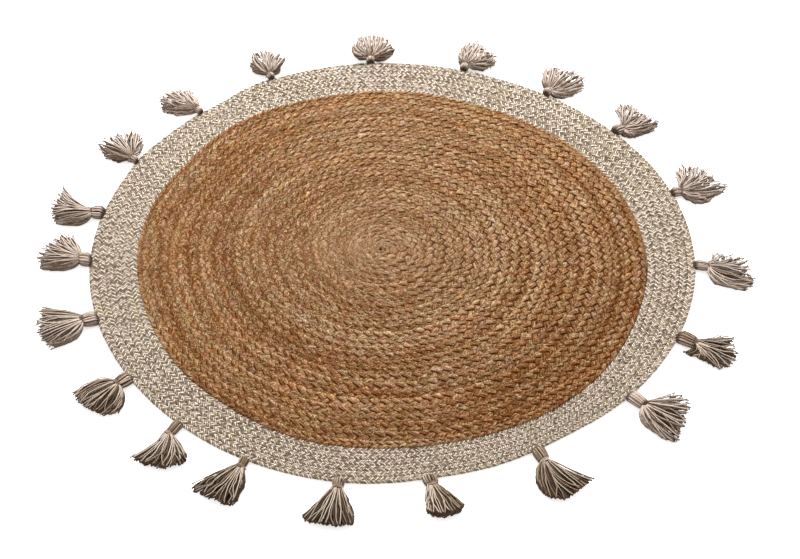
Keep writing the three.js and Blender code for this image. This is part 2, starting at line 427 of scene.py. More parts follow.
def makeJute():
    look = juteLook
    material, tree, shader = newMaterial("golden_jute")
    tone, warmth, high, crown, outward = strandMarks(tree, "tone", "warmth", "high", "crown", "outward")
    ground = addNode(tree, "ShaderNodeTexCoord").outputs["Object"]
    run = attribute(tree, "run", "Vector")
    along, wide, thick = addNode(tree, "ShaderNodeSeparateXYZ", {0: run}).outputs
    twisted = mathNode(tree, "MULTIPLY_ADD", along, look["fibreTwist"], wide)
    place = addNode(tree, "ShaderNodeCombineXYZ", {0: along, 1: twisted, 2: thick}).outputs[0]
    fibres, grain, streaks, bundles, hueStrand, tintStrand, strawGlints, specks = (
        fibreNoise(tree, place, *look[name]) for name in
        ("fibres", "grain", "streaks", "bundles", "hueStrand", "tintStrand", "strawGlintNoise", "barkNoise"))
    hueGround, tintGround = (fibreNoise(tree, ground, *look[name]) for name in ("hueGround", "tintGround"))
    share = layered(
        tree, stretch(tree, outward, *look["outwardTone"]), (tone, look["toneWeight"]),
        (bundles, look["bundleWeight"]), (streaks, look["streakWeight"]), (fibres, look["fibreWeight"]),
        (grain, look["grainWeight"]))
    colour = ramp(tree, share, look["shades"])
    # from weathered through golden to orange, and from olive to rosy
    hue = layered(tree, 0.0, *zip((hueStrand, warmth, hueGround), look["hueWeights"]))
    colour = tinted(tree, colour, hue, *look["orange"], "MULTIPLY")
    grey = stretch(tree, hue, *look["weatheredHue"])
    grey = mathNode(tree, "MAXIMUM", grey, stretch(tree, outward, *look["weatheredMiddle"]))
    colour = blendColour(tree, grey, colour, look["weathered"], "MULTIPLY")
    tint = layered(tree, 0.0, *zip((tintStrand, tintGround), look["tintWeights"]))
    colour = tinted(tree, colour, tint, *look["rosy"], "MULTIPLY")
    colour = tinted(tree, colour, tint, *look["olive"], "MULTIPLY")
    # pale specks of straw with painted glints
    colour = tinted(tree, colour, strawGlints, *look["strawGlint"])
    colour = tinted(tree, colour, specks, *look["bark"])
    colour = tinted(tree, colour, outward, *look["heart"])
    # how strong the painted shadow and crevice shade are, less in the middle
    shadeStrength = stretch(tree, outward, *look["darkOutward"])
    halo = mathNode(tree, "MULTIPLY", stretch(tree, crown, *look["shadowRange"]), shadeStrength)
    colour = blendColour(tree, halo, colour, look["shadow"])
    # painted shade in the crevices, on the low places and at the edges of the lobes
    creviceShadeShare = stretch(tree, mathNode(tree, "MULTIPLY_ADD", crown, look["crownLift"], high), *look["creviceHigh"])
    creviceShadeShare = mathNode(tree, "MAXIMUM", creviceShadeShare, stretch(tree, crown, *look["creviceEdge"]))
    colour = blendColour(tree, mathNode(tree, "MULTIPLY", creviceShadeShare, shadeStrength), colour, look["creviceShade"])
    height = mathNode(tree, "MULTIPLY_ADD", grain, look["bumpGrain"], fibres)
    height = mathNode(tree, "MULTIPLY_ADD", bundles, look["bumpBundles"], height)
    endMaterial(tree, shader, look, colour, height)
    return material


# Marled yarn: a cream ply and a taupe ply twisted together, no two lengths quite the same colour
marlLook = {
    "pale": ((0.0, (0.26, 0.18, 0.115)), (0.22, (0.52, 0.40, 0.275)),
             (0.42, (0.80, 0.68, 0.53)), (0.7, (0.98, 0.93, 0.85))),
    "dark": ((0.0, (0.15, 0.10, 0.063)), (0.5, (0.37, 0.27, 0.185)), (1.0, (0.62, 0.52, 0.40))),
    # two painted shades: in the gaps between the yarns and the bars, and in the low places
    "gapShade": (0.105, 0.070, 0.042),
    "creviceShade": (0.07, 0.046, 0.03),
    "rosy": ((0.68, 0.50, 0.42), 0.62, 0.95, 0.4),
    "olive": ((0.62, 0.53, 0.30), 0.38, 0.05, 0.4),
    "fuzz": ((300, 900, 900), 2, 0.6),
    "streaks": ((120, 1600, 1600), 2, 0.6),
    "twist": 0.009,               # metres for one turn of the plies
    "plyFuzz": 4.0,               # how much the fuzz blurs the line between the plies
    "plySoft": 0.4,
    "paleShare": -0.45,
    "deepRange": (0.15, 0.45),
    "creviceDepth": 0.85,
    "toneWeight": 1.6,
    "streakWeight": 1.0,
    "plyContrast": 0.5,
    "gapShadeRange": (0.22, 0.6),
    "gapShadeDepth": 1.0,
    "gapShadeStreaks": 0.5,
    "pairContrast": 1.5,          # every strand is a pale yarn beside a darker one
    "pairFuzz": 0.003,
    "pairEdge": (0.0006, 0.0024),
    "bumpStreaks": 0.6,
    "bump": 0.7,
    "bumpDeep": 0.0006,
    "roughness": 0.85,
    "gloss": 0.2,
    "sheen": 0.2,
}


def makeMarl(name, look):
    material, tree, shader = newMaterial(name)
    tone, warmth, high, crown = strandMarks(tree, "tone", "warmth", "high", "crown")
    run = attribute(tree, "run", "Vector")
    along, wide, thick = addNode(tree, "ShaderNodeSeparateXYZ", {0: run}).outputs
    fuzz, streaks = (fibreNoise(tree, run, *look[noise]) for noise in ("fuzz", "streaks"))
    around = mathNode(tree, "ARCTAN2", thick, wide)
    phase = mathNode(tree, "MULTIPLY_ADD", along, 2 * math.pi / look["twist"], around)
    wave = mathNode(tree, "SINE", mathNode(tree, "MULTIPLY_ADD", fuzz, look["plyFuzz"], phase))
    plyLow, plyHigh = look["paleShare"] - look["plySoft"], look["paleShare"] + look["plySoft"]
    ply = stretch(tree, wave, plyLow, plyHigh, look["plyContrast"], 0.0)
    shade = layered(tree, 0.5, (tone, look["toneWeight"]), (streaks, look["streakWeight"]))
    # one half of the strand is the paler yarn, on one side or the other
    paler = mathNode(tree, "MULTIPLY_ADD", fuzz, look["pairFuzz"], wide)
    paler = stretch(tree, paler, *look["pairEdge"], -0.5, 0.5)
    paler = mathNode(tree, "MULTIPLY", paler, stretch(tree, warmth, 0.46, 0.54, -1.0, 1.0))
    shade = mathNode(tree, "MULTIPLY_ADD", paler, look["pairContrast"], shade)
    colour = blendColour(tree, ply, ramp(tree, shade, look["dark"]), ramp(tree, shade, look["pale"]))
    colour = tinted(tree, colour, warmth, *look["rosy"])
    colour = tinted(tree, colour, warmth, *look["olive"])
    # painted shade in the gaps between the yarns, where the crown mark is low
    between = mathNode(tree, "SUBTRACT", crown, look["gapShadeStreaks"] / 2)
    between = mathNode(tree, "MULTIPLY_ADD", streaks, look["gapShadeStreaks"], between)
    gapShade = stretch(tree, between, *look["gapShadeRange"], look["gapShadeDepth"], 0.0)
    colour = blendColour(tree, gapShade, colour, look["gapShade"])
    # painted shade on the low places
    creviceShadeShare = stretch(tree, high, *look["deepRange"], look["creviceDepth"], 0.0)
    colour = blendColour(tree, creviceShadeShare, colour, look["creviceShade"])
    height = mathNode(tree, "MULTIPLY_ADD", streaks, look["bumpStreaks"], mathNode(tree, "ABSOLUTE", wave))
    endMaterial(tree, shader, look, colour, height)
    shader.inputs["Sheen Weight"].default_value = look["sheen"]
    return material


golden = makeJute()
print("jute finish made")

# The spiral of jute braid
juteBraid = {
    "rows": 28,                   # from the heart of the spiral to the border
    "heart": (-0.020, -0.009),
    "start": -1.3,                # turns; the braid winds in on itself there
    "joint": 78.0,                # degrees; the outer rows step outwards from here
    "jointReach": 0.3,            # of a turn
    "jointEnd": 0.78,             # of that reach, where the braid is cut off at the border
    "steadyRows": 9,              # how many outer rows step there, the rest wind evenly
    "steadyFade": 4,              # rows from one way to the other
    # how rows wander off their even places: size in rows, waves round the rug, turn from row to row, offset
    "drifts": ((0.13, 0, 1.9, 0.8), (0.10, 3, 0.9, 0.0)),
    "driftFade": 20,
    "edgeIn": 0.0022,             # the fold of the outer row stands out past its lane by as much
    "period": 0.060,
    "strandWide": 0.013,
    "halfRow": 0.00907,
    "middleHigh": 0.0046,
    "floorGap": 0.0002,
    "uneven": 0.15,
    "stray": 0.0010,
    "bumpy": 0.0005,
    "ridgeLong": 0.009,           # bundles of fibre that stand out or sink in, their length
    "ridgeHigh": 0.30,            # and how much, as a share of the thickness
    "foldHigh": 0.52,             # the folds at the sides of a row get no more painted shade than at this height
    "seamReach": 0.66,            # how far from the middle the edges of the lobes get painted shade, of half a row
    # lengths over which a strand changes colour, and how much: one lobe, one length of fibre
    "tones": ((0.024, 0.30), (0.25, 0.12)),
    # the same for the whole row
    "rowTone": (0.30, 0.28),
    "rowWarmth": (0.12, 0.20),
    # painted shade on outer rows at the front right and the left: middle angle, reach in degrees, first and
    # last row, how much
    "paintedShadeRows": ((332, 45, 21.5, 27.5, 0.14), (195, 75, 16, 28, 0.14)),
    "darkFade": 1.5,
    "seed": 300,
    # share of the half period, across the half row, lift mm, length along the row as a share of a third
    # of a period, thickness mm, fold degrees, tilt degrees
    "steps": (
        (0.00, 0.98, 1.1, 1.25, 4.4, 0, 0),
        (0.06, 0.94, 2.7, 1.34, 4.6, 50, 1),
        (0.20, 0.48, 2.9, 1.40, 4.8, 90, 4),
        (0.36, -0.08, 1.5, 1.15, 4.6, 90, 16),
        (0.66, -0.54, -2.2, 0.95, 4.2, 90, 2),
    ),
    "section": ((-1, 0), (-0.72, 0.72), (0, 1), (0.72, 0.72), (1, 0), (0.72, -0.72), (0, -1), (-0.72, -0.72)),
    "lanePoints": 40000,
}


def juteLaneEdge(turns):
    row = np.floor(turns)
    share = turns - row
    steady = easeIn((row - (juteBraid["rows"] - juteBraid["steadyRows"])) / juteBraid["steadyFade"])
    edge = row + share * (1 - steady) + easeIn(share / juteBraid["jointReach"]) * steady
    return np.where(turns < 1, np.exp(np.minimum(turns, 1) - 1), edge)


def jutePlan(lane, degrees):
    rows = juteBraid["rows"]
    window = np.clip(lane * (rows - lane) / juteBraid["driftFade"], 0, 1)
    drift = sum(size * np.sin(np.radians(waves * degrees) + turn * lane + offset)
                for size, waves, turn, offset in juteBraid["drifts"])
    share = (lane + window * drift) / rows
    radius = share * (juteEdge(degrees) - juteBraid["edgeIn"])
    return np.array(juteBraid["heart"]) * (1 - share)[:, None] + onPlan(radius, degrees)


def juteLane():
    rows = juteBraid["rows"]
    outerEnd = rows - 1 + juteBraid["jointEnd"] * juteBraid["jointReach"]
    turns = np.linspace(outerEnd, juteBraid["start"], juteBraid["lanePoints"])
    degrees = juteBraid["joint"] - 360 * turns
    inner = juteLaneEdge(turns)
    outer = np.minimum(juteLaneEdge(turns + 1), rows)
    outward = (inner + outer) / 2 / rows
    lane = laneBetween(jutePlan(inner, degrees), jutePlan(outer, degrees), juteBraid, False, outward, -1)
    # painted shade laid along those rows
    for at, reach, first, last, depth in juteBraid["paintedShadeRows"]:
        near = easeIn(juteBraid["darkFade"] - np.abs(np.mod(degrees - at + 180, 360) - 180) / reach)
        lane["shade"] = lane["shade"] - depth * near * easeIn(outer - first) * easeIn(last + 1 - outer)
    return lane


# way: 1 for a braid made clockwise round the rug, -1 for the other way
def laneBetween(innerEdge, outerEdge, braid, closed, outward, way):
    centre = (innerEdge + outerEdge) / 2
    across = outerEdge - innerEdge
    width = np.linalg.norm(across, axis=1)
    step = np.linalg.norm(np.diff(centre, axis=0), axis=1)
    period = braid["period"] * np.clip(width / 2 / braid["halfRow"], strandShape["shortest"], 1)
    run = np.concatenate([[0], np.cumsum(step)])
    phase = np.concatenate([[0], np.cumsum(step / period[1:])])
    if closed:
        phase = phase * round(phase[-1]) / phase[-1]
    aside = across / width[:, None]
    return {
        "run": run, "phase": phase, "centre": centre, "aside": aside, "halfRow": width / 2,
        "heading": way * np.column_stack([aside[:, 1], -aside[:, 0]]), "way": way,
        "closed": closed, "outward": outward, "shade": 0 * run,
    }


# Thin closed sheets inside the thickness of the braids, painted dark as shade, fill the gaps between the rows
gapSheetMake = {
    "corners": 360,
    # the sheets get painted shade as at this height
    "paintedShadeHigh": 0.3,
    "juteHole": 0.001,
    "juteInset": 0.006,           # the jute ground stops this far inside the edge of the spiral
    "juteLevels": (0.002, 0.0045),
    "marlUnder": 0.005,           # the border ground reaches this far under the spiral
    "marlInset": 0.004,
    "marlLevels": (0.002, 0.004),
}


def gapShadeSheet(name, innerEdge, outerEdge, levels, material, slotName, *nodes):
    around = gapSheetMake["corners"]
    degrees = -np.arange(around) * 360.0 / around
    low, high = levels
    rings = []
    for edge, height in ((outerEdge, low), (outerEdge, high), (innerEdge, high), (innerEdge, low)):
        rings.append(np.column_stack([onPlan(edge(degrees), degrees), np.full(around, height)]))
    rings = np.stack(rings, axis=1)[None]
    # tone and crown at nothing paint the sheets at their darkest, as shade
    marks = {mark: np.zeros(rings[..., 0].size) for mark in ("tone", "warmth", "crown", "outward")}
    marks.update(run=rings.reshape(-1, 3), high=np.full(rings[..., 0].size, gapSheetMake["paintedShadeHigh"]))
    return addPiece(tubeMesh(name, rings, True, marks), material, slotName, *nodes)


juteGapSheet = gapShadeSheet(
    "jute_gap_shade", lambda degrees: gapSheetMake["juteHole"] + 0 * degrees,
    lambda degrees: juteEdge(degrees) - gapSheetMake["juteInset"], gapSheetMake["juteLevels"], golden,
    "jute_braid", "jute_centre")
spiral = juteLane()
for strand, word in enumerate(("first", "second", "third")):
    rings, marks = braidStrand(spiral, juteBraid, strand)
    mesh = tubeMesh("jute_strand_" + word, rings[None], False, marks)
    addPiece(mesh, golden, "jute_braid", "jute_centre")
    print("jute strand", word, len(mesh.polygons), "faces")

# The border: six rows of marled braid
marlBraid = {
    "rows": 6,
    "period": 0.0315,
    "strandWide": 0.0075,
    "halfRow": 0.0075,
    "middleHigh": 0.0042,
    "floorGap": 0.0002,
    "uneven": 0.05,
    "stray": 0.0003,
    "bumpy": 0.0003,
    "ridgeLong": 0.012,
    "ridgeHigh": 0.12,
    "foldHigh": 0.0,
    "seamReach": 2.0,
    "tones": ((0.011, 0.42), (0.10, 0.2)),
    "rowTone": (0.2, 0.05),
    "rowWarmth": (0.14, 0.05),
    # painted light: the border is paler towards the front, which the lamp leaves in shade
    "frontPaintedLight": 0.07,
    "frontAt": 292,               # degrees
    "innerLap": 0.0016,           # the first row reaches this far under the edge of the spiral
    "outerGap": 0.0003,
    "jointTurn": 60.0,            # degrees from where one row is joined to where the next is
    "lanePoints": 6001,
    "seed": 700,
    "steps": (
        (0.00, 0.86, 0.8, 0.96, 3.3, 0, 0),
        (0.07, 0.82, 1.7, 0.97, 3.5, 55, 1),
        (0.25, 0.42, 1.9, 0.98, 3.6, 90, 2),
        (0.46, 0.00, 1.3, 0.96, 3.5, 90, 4),
        (0.74, -0.56, -1.6, 0.95, 3.4, 90, 0),
    ),
    "section": (
        (-1, 0), (-0.58, 0.95), (0, 0.1), (0.58, 0.95), (1, 0), (0.58, -0.95), (0, -0.1), (-0.58, -0.95)),
}

marled = makeMarl("cream_taupe_marl", marlLook)


def marlLane(row):
    degrees = marlBraid["jointTurn"] * row - np.linspace(0, 360, marlBraid["lanePoints"])
    inner = juteEdge(degrees) - marlBraid["innerLap"]
    outer = rugEdge(degrees) - marlBraid["outerGap"]
    edges = [onPlan(inner + (outer - inner) * lane / marlBraid["rows"], degrees) for lane in (row, row + 1)]
    outward = np.full(len(degrees), (row + 0.5) / marlBraid["rows"])
    lane = laneBetween(*edges, marlBraid, True, outward, 1)
    # painted light on the front of the border
    facing = np.clip(np.cos(np.radians(degrees - marlBraid["frontAt"])), 0, 1)
    lane["shade"] = marlBraid["frontPaintedLight"] * facing
    return lane


marlGapSheet = gapShadeSheet(
    "marl_gap_shade", lambda degrees: juteEdge(degrees) - gapSheetMake["marlUnder"],
    lambda degrees: rugEdge(degrees) - gapSheetMake["marlInset"], gapSheetMake["marlLevels"], marled,
    "marl_braid", "marl_border")
for row in range(marlBraid["rows"]):
    lane = marlLane(row)
    rowBraid = {**marlBraid, "seed": marlBraid["seed"] + 40 * row}
    strands = [braidStrand(lane, rowBraid, strand) for strand in range(3)]
    rings = np.stack([rings for rings, marks in strands])
    marks = joinMarks([marks for rings, marks in strands])
    mesh = tubeMesh("marl_row_%d" % (row + 1), rings, True, marks)
    addPiece(mesh, marled, "marl_braid", "marl_border")
print("border rows made")

# The tassels. at: degrees round the rug; wide: width of the head; start: where the head leaves the border,
# across; neck: the tie, outwards and across; curl: how crimped the yarns are; cut: how much painted shade the
# cut ends get; tie: tone of the tie; paler: tone of all its yarns, lower in the tassels at the front, partly
# painted shade
tasselNames = ("at", "wide", "start", "neck", "curl", "cut", "tie", "paler")
# The skirt of each tassel from its left to its right: the top yarns halfway (out, across, high), their
# ends (out, across, high) and their tone. In mm, read from the photograph as if everything lay 10 mm
# above the floor
tasselRows = (
    ((95.2, 20, 1, (12, 2), 0.6, 0.3, 0.5, 0.02),
     ((8, -14, 14, 22, -30, 8, 0.8), (22, -28, 26, 50, -38, 14, 0.75), (35, -22, 30, 72, -31, 20, 0.35),
      (48, -12, 32, 88, -18, 24, 0.55), (55, 0, 34, 98, 0, 26, 0.6), (55, 14, 34, 95, 20, 26, 0.6),
      (50, 26, 32, 90, 38, 22, 0.55), (38, 34, 28, 66, 54, 16, 0.45), (22, 34, 22, 42, 60, 10, 0.5),
      (8, 26, 14, 22, 52, 5, 0.35), (2, 16, 8, 6, 34, 3, 0.1))),
    ((74.5, 20, -4, (14, -2), 1.2, 0.3, 0.4, 0.1),
     ((14, -14, 12, 22, -16, 6, 0.6), (30, -20, 22, 48, -28, 14, 0.45), (42, -20, 28, 76, -27, 22, 0.5),
      (50, -14, 32, 94, -18, 28, 0.45), (55, -4, 34, 104, 2, 30, 0.6), (52, 8, 34, 94, 16, 24, 0.7),
      (46, 20, 30, 84, 34, 20, 0.5), (38, 26, 28, 72, 50, 16, 0.25), (26, 30, 22, 50, 60, 12, 0.6),
      (14, 28, 16, 28, 56, 7, 0.6), (6, 20, 10, 8, 34, 4, 0.45))),
    ((55.4, 20, -3, (12, 0), 0.8, 0.4, 0.9, 0.1),
     ((14, -14, 14, 24, -22, 8, 0.6), (28, -30, 24, 52, -44, 18, 0.55), (38, -32, 30, 76, -52, 24, 0.5),
      (48, -24, 34, 90, -36, 28, 0.45), (54, -12, 34, 92, -14, 28, 0.6), (56, 0, 32, 102, 2, 26, 0.65),
      (50, 12, 28, 100, 22, 22, 0.6), (44, 20, 24, 96, 38, 18, 0.25), (34, 26, 20, 82, 48, 12, 0.5),
      (20, 30, 14, 56, 54, 8, 0.7), (6, 26, 8, 30, 50, 4, 0.5), (0, 16, 5, 6, 34, 2, 0.15))),
    ((37.0, 25, -5, (20, 0), 1.2, 0.4, 0.8, 0.1),
     ((30, -22, 26, 46, -56, 16, 0.6), (42, -34, 34, 66, -64, 26, 0.4), (50, -34, 36, 82, -58, 30, 0.45),
      (54, -24, 36, 86, -40, 30, 0.75), (56, -12, 34, 86, -22, 28, 0.6), (54, 0, 30, 88, -6, 24, 0.7),
      (52, 8, 28, 92, 10, 20, 0.35), (46, 16, 24, 98, 22, 18, 0.3), (36, 22, 20, 92, 32, 12, 0.5),
      (24, 24, 14, 72, 42, 8, 0.5), (12, 20, 8, 40, 38, 4, 0.4), (6, 12, 5, 10, 18, 3, 0.1))),
    ((16.6, 22, 3, (16, 6), 1.4, 0.4, 0.4, 0.1),
     ((20, -20, 26, 26, -50, 14, 0.6), (30, -36, 34, 42, -68, 26, 0.55), (40, -40, 38, 58, -72, 32, 0.45),
      (50, -34, 38, 74, -66, 32, 0.6), (56, -24, 36, 88, -50, 30, 0.6), (60, -12, 32, 96, -30, 26, 0.55),
      (58, -2, 28, 104, -10, 18, 0.5), (60, 8, 24, 110, 2, 14, 0.5), (60, 14, 20, 116, 16, 12, 0.4),
      (50, 24, 16, 104, 26, 9, 0.55), (40, 32, 12, 84, 36, 6, 0.4), (28, 34, 9, 56, 48, 4, 0.6),
      (20, 28, 6, 34, 44, 2, 0.2))),
    ((356.5, 22, 6, (26, 12), 0.8, 0.4, 0.6, 0.15),
     ((26, -10, 22, 32, -34, 22, 0.55), (42, -12, 32, 54, -26, 28, 0.5), (50, -8, 34, 78, -26, 30, 0.5),
      (58, 0, 34, 98, -16, 26, 0.55), (62, 6, 30, 106, 2, 20, 0.75), (64, 14, 28, 102, 16, 16, 0.6),
      (60, 22, 24, 98, 30, 10, 0.1), (60, 28, 22, 116, 38, 12, 0.2), (54, 36, 20, 112, 48, 10, 0.5),
      (46, 44, 16, 106, 60, 8, 0.6), (40, 50, 12, 100, 68, 5, 0.5), (34, 46, 8, 60, 64, 3, 0.45),
      (28, 36, 5, 36, 54, 2, 0.2))),
    ((337.1, 30, 6, (36, 12), 0.6, 0.5, 0.3, -0.18),
     ((46, -10, 26, 66, -30, 26, 0.45), (56, -14, 32, 88, -34, 28, 0.5), (64, -6, 34, 96, -18, 26, 0.55),
      (68, 2, 32, 108, 0, 22, 0.5), (70, 10, 30, 114, 14, 18, 0.6), (70, 18, 26, 112, 32, 14, 0.55),
      (66, 24, 22, 106, 48, 10, 0.6), (62, 28, 18, 94, 56, 6, 0.5), (56, 32, 20, 72, 46, 10, 0.1),
      (50, 30, 20, 56, 44, 8, 0.45), (44, 26, 18, 46, 42, 6, 0.7), (38, 26, 14, 34, 46, 4, 0.2),
      (30, 28, 9, 20, 42, 3, 0.1))),
    ((319.1, 25, 4, (36, 6), 0.5, 0.7, 0.1, 0.1),
     ((40, -32, 30, 52, -56, 26, 0.7), (56, -34, 30, 84, -59, 26, 0.65), (62, -28, 30, 96, -44, 24, 0.7),
      (64, -20, 28, 100, -34, 18, 0.5), (66, -14, 24, 106, -22, 12, 0.1), (66, -8, 26, 112, -8, 14, 0.55),
      (68, 2, 28, 116, 6, 14, 0.25), (66, 10, 28, 120, 18, 12, 0.25), (64, 18, 26, 126, 30, 10, 0.5),
      (62, 26, 22, 128, 40, 8, 0.35), (58, 32, 18, 112, 46, 6, 0.5), (52, 34, 12, 90, 45, 4, 0.65),
      (44, 32, 7, 60, 40, 3, 0.3))),
    ((297.7, 24, 6, (33, 8), 0.5, 0.9, 0.9, -0.28),
     ((54, -18, 24, 100, -50, 12, 0.6), (60, -14, 26, 104, -38, 16, 0.45), (64, -8, 28, 104, -24, 20, 0.65),
      (68, 0, 30, 108, -10, 24, 0.3), (70, 8, 30, 112, 4, 24, 0.6), (70, 14, 30, 112, 16, 22, 0.25),
      (66, 22, 28, 106, 28, 20, 0.2), (60, 30, 24, 100, 38, 16, 0.3), (52, 34, 18, 90, 44, 12, 0.25),
      (44, 32, 12, 74, 42, 8, 0.4))),
    ((276.9, 26, 0, (20, -6), 0.9, 1.0, 0.5, -0.36),
     ((40, 8, 22, 66, 8, 22, 0.65), (42, 2, 26, 70, 0, 28, 0.6), (44, -6, 28, 72, -10, 32, 0.65),
      (44, -14, 30, 71, -21, 34, 0.4), (42, -22, 30, 70, -32, 35, 0.5), (40, -28, 30, 68, -42, 34, 0.25),
      (38, -34, 26, 64, -51, 30, 0.15), (34, -34, 20, 60, -54, 22, 0.15))),
    ((261.5, 21, -3, (18, -5), 0.8, 0.9, 0.6, -0.42),
     ((44, 22, 16, 84, 46, 8, 0.55), (50, 20, 22, 92, 36, 14, 0.45), (54, 14, 26, 90, 24, 20, 0.5),
      (54, 6, 30, 88, 10, 24, 0.6), (54, 0, 32, 88, -4, 26, 0.65), (54, -8, 32, 88, -16, 26, 0.4),
      (50, -14, 32, 86, -26, 24, 0.6), (46, -20, 28, 84, -36, 20, 0.45), (42, -26, 22, 86, -44, 14, 0.55),
      (36, -26, 14, 70, -42, 8, 0.5))),
    ((244.9, 18, -4, (22, -6), 0.9, 0.6, 0.5, -0.38),
     ((44, 26, 20, 84, 52, 14, 0.55), (50, 22, 24, 96, 44, 18, 0.4), (54, 18, 28, 98, 32, 20, 0.5),
      (56, 10, 30, 96, 18, 22, 0.45), (58, 2, 32, 94, 6, 22, 0.6), (58, -4, 32, 96, -4, 24, 0.35),
      (56, -10, 32, 98, -14, 24, 0.55), (52, -16, 30, 92, -26, 24, 0.4), (44, -20, 26, 86, -30, 20, 0.6),
      (40, -24, 20, 54, -25, 10, 0.35))),
    ((230.4, 21, -7, (31, -12), 0.9, 0.6, 0.6, -0.25),
     ((60, -4, 20, 108, 4, 14, 0.6), (62, -10, 24, 106, -8, 20, 0.55), (62, -18, 28, 100, -22, 22, 0.5),
      (60, -26, 30, 96, -34, 22, 0.45), (56, -32, 30, 90, -44, 22, 0.7), (52, -38, 30, 84, -54, 22, 0.5),
      (46, -42, 28, 74, -64, 22, 0.6), (40, -44, 24, 64, -72, 18, 0.4), (34, -42, 18, 54, -78, 12, 0.6),
      (30, -34, 12, 42, -68, 8, 0.6))),
    ((216.2, 28, -5, (28, -8), 0.5, 0.5, 0.4, -0.18),
     ((46, 26, 18, 100, 22, 12, 0.6), (54, 22, 22, 102, 16, 16, 0.45), (60, 14, 26, 102, 6, 18, 0.2),
      (62, 6, 30, 100, -4, 20, 0.5), (62, -4, 32, 98, -14, 20, 0.4), (58, -14, 32, 96, -24, 20, 0.45),
      (52, -22, 32, 92, -34, 18, 0.35), (46, -28, 28, 88, -44, 16, 0.3), (40, -34, 24, 84, -52, 12, 0.4),
      (36, -42, 16, 76, -62, 8, 0.5), (34, -44, 9, 60, -66, 4, 0.4))),
    ((199.8, 34, -5, (27, -4), 0.5, 0.5, 0.2, 0.05),
     ((40, 30, 22, 86, 58, 22, 0.5), (52, 32, 28, 94, 48, 24, 0.3), (60, 24, 32, 96, 36, 26, 0.5),
      (64, 16, 34, 104, 22, 26, 0.45), (66, 8, 34, 106, 8, 26, 0.5), (66, -2, 34, 108, -4, 24, 0.4),
      (64, -10, 32, 106, -16, 22, 0.5), (60, -18, 28, 104, -28, 18, 0.45), (54, -26, 22, 100, -40, 12, 0.6),
      (48, -34, 14, 96, -54, 8, 0.7), (42, -36, 8, 72, -50, 4, 0.5))),
    ((184.0, 33, -7, (20, -3), 0.4, 0.4, 0.6, 0.08),
     ((18, 30, 22, 34, 66, 18, 0.7), (28, 36, 28, 50, 70, 24, 0.65), (38, 34, 32, 68, 62, 28, 0.45),
      (46, 28, 34, 80, 46, 30, 0.4), (52, 20, 34, 90, 32, 28, 0.45), (54, 12, 34, 96, 18, 26, 0.6),
      (54, 4, 32, 98, 4, 24, 0.45), (54, -4, 30, 98, -8, 20, 0.4), (50, -12, 24, 96, -18, 14, 0.3),
      (44, -20, 16, 96, -26, 8, 0.55), (34, -24, 9, 66, -30, 5, 0.7))),
    ((170.7, 31, -6, (21, -10), 0.4, 0.5, 0.1, 0.05),
     ((48, 14, 26, 97, 55, 24, 0.6), (54, 12, 30, 98, 40, 26, 0.55), (58, 8, 32, 102, 28, 26, 0.45),
      (60, 2, 34, 102, 12, 26, 0.3), (60, -4, 34, 104, -4, 26, 0.4), (58, -12, 34, 102, -14, 24, 0.5),
      (56, -20, 32, 96, -26, 22, 0.3), (50, -26, 28, 92, -36, 18, 0.5), (44, -32, 22, 88, -46, 12, 0.45),
      (36, -38, 14, 82, -54, 8, 0.5), (28, -38, 8, 54, -52, 4, 0.7))),
    ((155.0, 17, -1, (14, 2), 0.6, 0.3, 0.5, 0),
     ((6, 26, 18, 12, 52, 12, 0.6), (18, 38, 26, 30, 74, 20, 0.5), (28, 44, 32, 52, 84, 28, 0.45),
      (36, 40, 36, 66, 72, 32, 0.6), (44, 34, 36, 80, 58, 32, 0.4), (50, 28, 36, 88, 46, 30, 0.6),
      (54, 20, 34, 94, 28, 28, 0.5), (56, 12, 32, 96, 12, 26, 0.45), (54, 4, 28, 90, 0, 20, 0.35),
      (46, -2, 22, 76, -12, 14, 0.5), (36, -8, 14, 62, -18, 8, 0.4), (24, -8, 8, 32, -20, 4, 0.2))),
    ((135.3, 17, 1, (14, 0), 1.0, 0.3, 0.7, 0.25),
     ((18, 14, 16, 36, 22, 14, 0.7), (28, 16, 26, 66, 32, 26, 0.95), (38, 16, 32, 78, 30, 28, 0.65),
      (46, 10, 34, 82, 20, 30, 0.6), (50, 4, 34, 94, 8, 30, 0.5), (50, -2, 32, 102, -10, 28, 0.6),
      (48, -8, 30, 100, -24, 24, 0.55), (44, -14, 26, 90, -34, 20, 0.5), (40, -18, 22, 80, -44, 12, 0.1),
      (34, -22, 20, 72, -54, 10, 0.15), (26, -22, 14, 60, -56, 6, 0.5), (10, -14, 6, 30, -44, 3, 0.5))),
    ((117.0, 18, 1, (12, 2), 1.0, 0.3, 0.5, 0.0),
     ((18, -12, 12, 34, -24, 8, 0.6), (30, -14, 22, 54, -26, 14, 0.5), (42, -8, 30, 74, -16, 24, 0.55),
      (52, 0, 34, 92, -4, 30, 0.4), (54, 8, 36, 98, 6, 32, 0.55), (54, 14, 36, 96, 18, 32, 0.5),
      (52, 20, 34, 96, 32, 30, 0.55), (44, 24, 32, 82, 40, 28, 0.5), (36, 28, 28, 70, 48, 24, 0.6),
      (28, 30, 22, 50, 60, 18, 0.6), (20, 24, 14, 32, 38, 8, 0.5), (8, 16, 8, 14, 26, 4, 0.4))),
)
